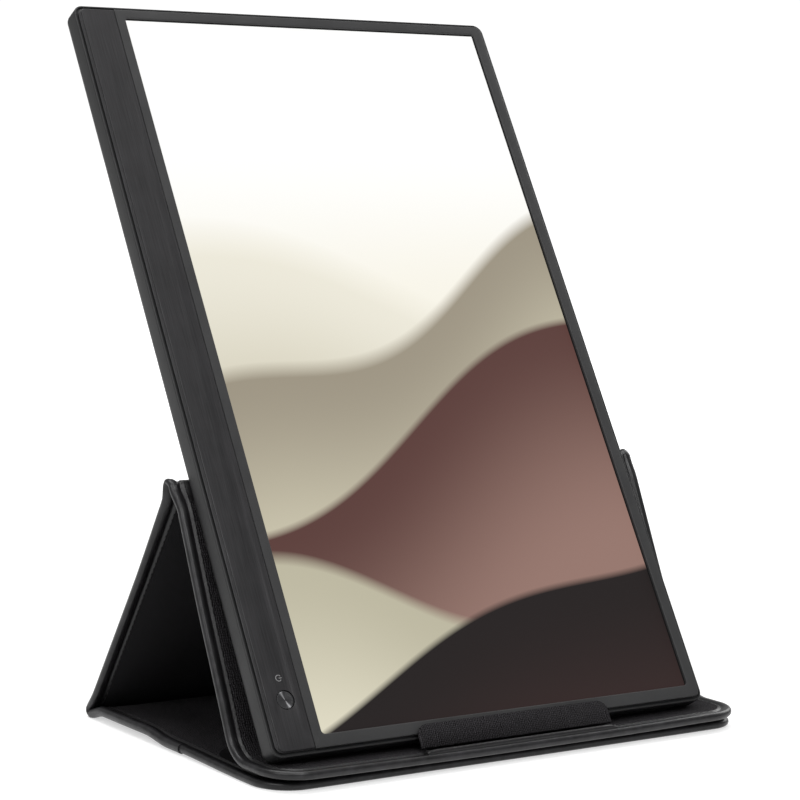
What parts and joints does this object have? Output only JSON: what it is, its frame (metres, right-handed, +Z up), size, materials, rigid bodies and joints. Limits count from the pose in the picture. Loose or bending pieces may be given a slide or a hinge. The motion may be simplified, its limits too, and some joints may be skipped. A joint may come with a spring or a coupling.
{
  "type": "portable monitor with folding cover",
  "caption": "Slim portable monitor standing upright in a folding cover whose panels make a triangular stand with a ledge and lip.",
  "frame": {"origin": "on the ground, under the middle of the cover's bottom panel", "axes": "+X across the screen to the viewer's right, +Y from the front edge to the back, +Z up"},
  "size_m": [0.2474, 0.204, 0.32],
  "materials": {
    "leather": "smooth synthetic leather, near black, soft sheen",
    "weave": "woven lining, near black, coarse dotted weave",
    "twill": "fine twill lining, near black",
    "board": "grey board",
    "magnet": "nickel-plated magnet",
    "shell": "fine matte moulded plastic, dark grey",
    "chin": "dark grey, finely brushed along its length",
    "panel_glass": "anti-glare front of the lit screen, showing a plain soft picture",
    "film": "white diffuser film",
    "guide": "clear acrylic plate",
    "lamp": "row of white lamps",
    "tray": "thin pressed sheet",
    "tape": "foam adhesive tape",
    "pcb": "green solder mask",
    "chip": "black moulding compound",
    "flex": "amber film cable",
    "steel": "plated steel",
    "button": "spun dark metal with a dished face"
  },
  "bodies": {
    "support": {"support_board": "board", "support_fabric": "weave", "support_lining": "twill", "support_binding": "leather", "apex_strip": "leather", "apex_fold": "leather", "ledge_fold": "leather"},
    "strut": {"strut_board": "board", "strut_skin": "leather", "strut_lining": "twill", "strut_binding": "leather"},
    "bottom": {"bottom_board": "board", "bottom_skin": "leather", "bottom_fabric": "weave", "bottom_binding": "leather", "rear_fold": "leather", "bottom_magnets": "magnet"},
    "ledge": {"ledge_board": "board", "ledge_skin": "leather", "ledge_fabric": "weave", "ledge_binding": "leather", "ledge_magnets": "magnet", "lip_piping": "leather"},
    "lip": {"lip_board": "board", "lip_fabric": "weave"},
    "monitor": {"rear_housing": "shell", "front_bezel": "shell", "chin_strip": "chin", "lcd_glass": "panel_glass", "film_stack": "film", "light_guide": "guide", "led_strip": "lamp", "panel_tray": "tray", "panel_tapes": "tape", "main_board": "pcb", "board_chips": "chip", "board_screws": "steel", "usb_socket": "steel", "usb_tongue": "chip", "panel_cable": "flex", "button_board": "pcb", "button_cable": "flex", "button_switch": "chip"},
    "button": {"power_button": "button"}
  },
  "joints": [
    {"name": "strut_fold", "type": "hinge", "parent": "support", "child": "strut", "pos_m": [0, 0.00325, 0.11704], "axis": [1, 0, 0], "range_deg": [0, 110]},
    {"name": "bottom_fold", "type": "hinge", "parent": "strut", "child": "bottom", "pos_m": [0, 0.0787, 0.0018], "axis": [1, 0, 0], "range_deg": [0, 121.5]},
    {"name": "ledge_fold", "type": "hinge", "parent": "support", "child": "ledge", "pos_m": [0, -0.0475, 0.0072], "axis": [1, 0, 0], "range_deg": [0, 63.5]},
    {"name": "lip_fold", "type": "hinge", "parent": "ledge", "child": "lip", "pos_m": [0, -0.07903, 0.01], "axis": [1, 0, 0], "range_deg": [0, 90]},
    {"name": "monitor_lift", "type": "slide", "parent": "support", "child": "monitor", "axis": [0, 0.515, 0.8572], "range_m": [0, 0.15]},
    {"name": "button_press", "type": "slide", "parent": "monitor", "child": "button", "axis": [0, 0.8572, -0.515], "range_m": [0, 0.0004], "stiffness_N_per_m": 2000, "springref_m": -0.0002}
  ],
  "couplings": [
    {"joint": "bottom_fold", "follows": "strut_fold", "ratio": 1.1},
    {"joint": "ledge_fold", "follows": "strut_fold", "ratio": 0.57}
  ]
}
